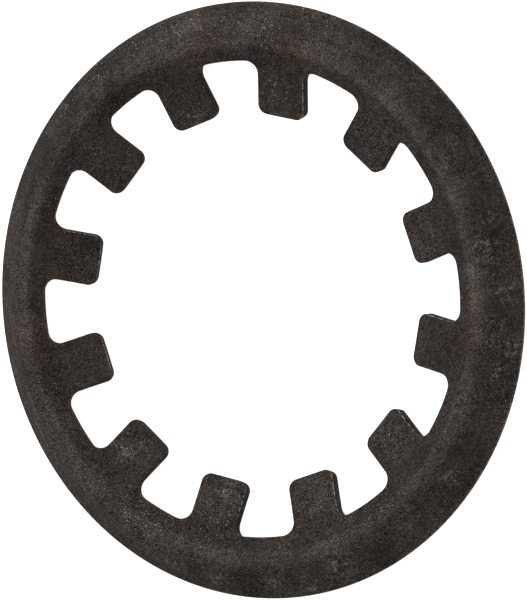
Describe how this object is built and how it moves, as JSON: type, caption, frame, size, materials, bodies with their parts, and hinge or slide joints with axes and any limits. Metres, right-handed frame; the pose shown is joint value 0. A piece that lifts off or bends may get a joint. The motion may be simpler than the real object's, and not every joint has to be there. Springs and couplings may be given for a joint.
{
  "type": "push-on retaining ring",
  "caption": "Push-on retaining ring in thin black spring steel, with an arched rim and sloping prongs that grip a plain round shaft.",
  "frame": {"origin": "on the ring's axis, in the plane that the ring lies on", "axes": "+Z along the ring's axis, from the prong tips up to the crest of the arch; +X through the middle of one prong"},
  "size_m": [0.0198, 0.0198, 0.0012],
  "materials": {
    "phosphate_black": "matte"
  },
  "bodies": {
    "root": {"retaining_ring": "phosphate_black"}
  },
  "joints": []
}
